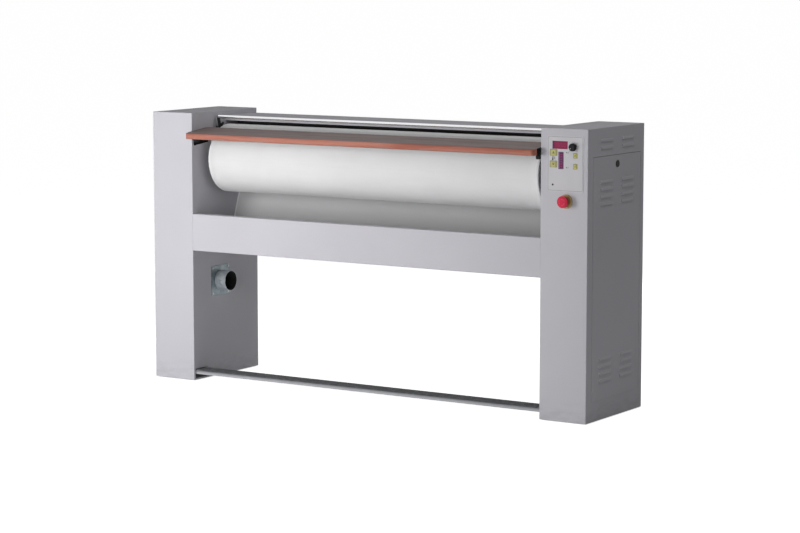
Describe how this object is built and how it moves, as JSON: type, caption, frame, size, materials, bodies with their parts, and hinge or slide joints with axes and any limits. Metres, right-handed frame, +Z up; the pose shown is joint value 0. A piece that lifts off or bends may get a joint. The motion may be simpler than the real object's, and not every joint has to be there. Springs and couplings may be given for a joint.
{
  "type": "flatwork ironer",
  "caption": "Free-standing electric flatwork ironer: padded roller between two columns, swinging heated chest behind it, feed board, finger guard, linen tray, foot bar and control panel.",
  "frame": {"origin": "on the floor, at the middle of the outline in plan", "axes": "+X along the roller to the operator's right, +Y from the operator to the back, +Z up"},
  "size_m": [1.9382, 0.494, 1.05],
  "materials": {
    "left_column_housing": "light grey textured powder coat",
    "right_column_housing": "light grey textured powder coat",
    "left_side_cover": "light grey textured powder coat",
    "right_side_cover": "light grey textured powder coat",
    "left_cover_lock": "plated zinc",
    "right_cover_lock": "plated zinc",
    "left_side_frame": "dark primer",
    "right_side_frame": "dark primer",
    "levelling_feet": "zinc plated",
    "front_beam": "light grey textured powder coat",
    "linen_tray": "light grey textured powder coat",
    "rear_hood": "light grey textured powder coat",
    "roller_tube": "bare tube",
    "roller_padding": "white ironing cloth over padding",
    "roller_end_discs": "bare plate",
    "left_journal": "turned",
    "right_journal": "turned",
    "roller_gear": "oiled",
    "drive_pinion": "oiled",
    "gearbox": "painted casting",
    "drive_motor": "painted casting",
    "roller_bearings": "cast flange",
    "heated_chest": "polished ironing face",
    "heating_elements": "heat-tinted sheath",
    "chest_cover": "galvanised sheet",
    "chest_arms": "black",
    "chest_pivot_shaft": "ground bar",
    "chest_levers": "black",
    "lift_rods": "zinc plated",
    "return_springs": "spring steel",
    "foot_pedal_bar": "light grey textured powder coat",
    "pedal_levers": "black",
    "pedal_brackets": "dark primer",
    "feed_board": "laminated board",
    "board_brackets": "black",
    "board_knobs": "black knob",
    "guard_tube": "bright tube",
    "guard_arms": "black",
    "guard_switch": "black moulding",
    "control_panel": "light membrane",
    "display_windows": "tinted window",
    "raise_key": "pale yellow key",
    "lower_key": "pale yellow key",
    "run_key": "pale yellow key",
    "mode_key": "pale yellow key",
    "control_board": "circuit board",
    "speed_dial": "black knob",
    "emergency_stop_collar": "yellow",
    "emergency_stop_head": "red",
    "emergency_stop_contacts": "grey moulding",
    "electrical_plate": "galvanised sheet",
    "contactors": "grey moulding",
    "terminal_block": "grey moulding",
    "cable_gland": "black nylon",
    "exhaust_spigot": "galvanised sheet",
    "fan_housing": "galvanised sheet",
    "fan_impeller": "sheet",
    "fan_motor": "painted casting",
    "suction_duct": "galvanised sheet"
  },
  "bodies": {
    "frame": {"left_column_housing": "left_column_housing", "right_column_housing": "right_column_housing", "left_side_frame": "left_side_frame", "right_side_frame": "right_side_frame", "levelling_feet": "levelling_feet", "front_beam": "front_beam", "linen_tray": "linen_tray", "rear_hood": "rear_hood", "gearbox": "gearbox", "drive_motor": "drive_motor", "roller_bearings": "roller_bearings", "pedal_brackets": "pedal_brackets", "feed_board": "feed_board", "board_brackets": "board_brackets", "board_knobs": "board_knobs", "guard_switch": "guard_switch", "control_panel": "control_panel", "display_windows": "display_windows", "control_board": "control_board", "emergency_stop_collar": "emergency_stop_collar", "emergency_stop_contacts": "emergency_stop_contacts", "electrical_plate": "electrical_plate", "contactors": "contactors", "terminal_block": "terminal_block", "cable_gland": "cable_gland", "exhaust_spigot": "exhaust_spigot", "fan_housing": "fan_housing", "fan_motor": "fan_motor", "suction_duct": "suction_duct"},
    "roller": {"roller_tube": "roller_tube", "roller_padding": "roller_padding", "roller_end_discs": "roller_end_discs", "left_journal": "left_journal", "right_journal": "right_journal", "roller_gear": "roller_gear"},
    "pinion": {"drive_pinion": "drive_pinion"},
    "chest": {"heated_chest": "heated_chest", "heating_elements": "heating_elements", "chest_cover": "chest_cover", "chest_arms": "chest_arms", "chest_pivot_shaft": "chest_pivot_shaft", "chest_levers": "chest_levers"},
    "pedal": {"foot_pedal_bar": "foot_pedal_bar", "pedal_levers": "pedal_levers"},
    "rods": {"lift_rods": "lift_rods", "return_springs": "return_springs"},
    "guard": {"guard_tube": "guard_tube", "guard_arms": "guard_arms"},
    "fan": {"fan_impeller": "fan_impeller"},
    "right_cover": {"right_side_cover": "right_side_cover"},
    "left_cover": {"left_side_cover": "left_side_cover"},
    "right_lock": {"right_cover_lock": "right_cover_lock"},
    "left_lock": {"left_cover_lock": "left_cover_lock"},
    "stop_head": {"emergency_stop_head": "emergency_stop_head"},
    "dial": {"speed_dial": "speed_dial"},
    "key_raise": {"raise_key": "raise_key"},
    "key_lower": {"lower_key": "lower_key"},
    "key_run": {"run_key": "run_key"},
    "key_mode": {"mode_key": "mode_key"}
  },
  "joints": [
    {"name": "roller_spin", "type": "hinge", "parent": "frame", "child": "roller", "pos_m": [0, 0.003, 0.867], "axis": [1, 0, 0], "continuous": true},
    {"name": "pinion_spin", "type": "hinge", "parent": "frame", "child": "pinion", "pos_m": [0.8, 0.003, 0.722], "axis": [1, 0, 0], "continuous": true},
    {"name": "chest_swing", "type": "hinge", "parent": "frame", "child": "chest", "pos_m": [0, 0.163, 0.645], "axis": [1, 0, 0], "range_deg": [0, 2.5], "stiffness_Nm_per_rad": 121.5, "springref_deg": -12.61},
    {"name": "pedal_press", "type": "hinge", "parent": "frame", "child": "pedal", "pos_m": [0, 0.158, 0.046], "axis": [1, 0, 0], "range_deg": [0, 2.25]},
    {"name": "rod_lift", "type": "slide", "parent": "frame", "child": "rods", "axis": [0, 0, 1], "range_m": [0, 0.002], "deforming": ["return_springs"]},
    {"name": "guard_swing", "type": "hinge", "parent": "frame", "child": "guard", "pos_m": [0, -0.035, 0.986], "axis": [-1, 0, 0], "range_deg": [0, 10], "stiffness_Nm_per_rad": 0.5, "springref_deg": -17.19},
    {"name": "fan_spin", "type": "hinge", "parent": "frame", "child": "fan", "pos_m": [-0.875, -0.021, 0.432], "axis": [0, 1, 0], "continuous": true},
    {"name": "right_cover_tilt", "type": "hinge", "parent": "frame", "child": "right_cover", "pos_m": [0.965, 0.0235, 0.0745], "axis": [0, 1, 0], "range_deg": [0, 20]},
    {"name": "left_cover_tilt", "type": "hinge", "parent": "frame", "child": "left_cover", "pos_m": [-0.965, 0.0235, 0.0745], "axis": [0, -1, 0], "range_deg": [0, 20]},
    {"name": "right_lock_turn", "type": "hinge", "parent": "right_cover", "child": "right_lock", "pos_m": [0.965, 0.0235, 0.916], "axis": [-1, 0, 0], "range_deg": [-90, 0]},
    {"name": "left_lock_turn", "type": "hinge", "parent": "left_cover", "child": "left_lock", "pos_m": [-0.965, 0.0235, 0.916], "axis": [-1, 0, 0], "range_deg": [-90, 0]},
    {"name": "emergency_stop_push", "type": "slide", "parent": "frame", "child": "stop_head", "axis": [0, 1, 0], "range_m": [0, 0.006], "stiffness_N_per_m": 600, "springref_m": -0.004},
    {"name": "speed_dial_turn", "type": "hinge", "parent": "frame", "child": "dial", "pos_m": [0.907, -0.198, 0.986], "axis": [0, 1, 0], "range_deg": [0, 270]},
    {"name": "raise_key_push", "type": "slide", "parent": "frame", "child": "key_raise", "axis": [0, 1, 0], "range_m": [0, 0.001], "stiffness_N_per_m": 300, "springref_m": -0.002},
    {"name": "lower_key_push", "type": "slide", "parent": "frame", "child": "key_lower", "axis": [0, 1, 0], "range_m": [0, 0.001], "stiffness_N_per_m": 300, "springref_m": -0.002},
    {"name": "run_key_push", "type": "slide", "parent": "frame", "child": "key_run", "axis": [0, 1, 0], "range_m": [0, 0.001], "stiffness_N_per_m": 300, "springref_m": -0.002},
    {"name": "mode_key_push", "type": "slide", "parent": "frame", "child": "key_mode", "axis": [0, 1, 0], "range_m": [0, 0.001], "stiffness_N_per_m": 300, "springref_m": -0.002}
  ],
  "couplings": [
    {"joint": "pinion_spin", "follows": "roller_spin", "ratio": -2.2222},
    {"joint": "pedal_press", "follows": "chest_swing", "ratio": 0.9},
    {"joint": "rod_lift", "follows": "chest_swing", "m_per_rad": 0.045}
  ]
}
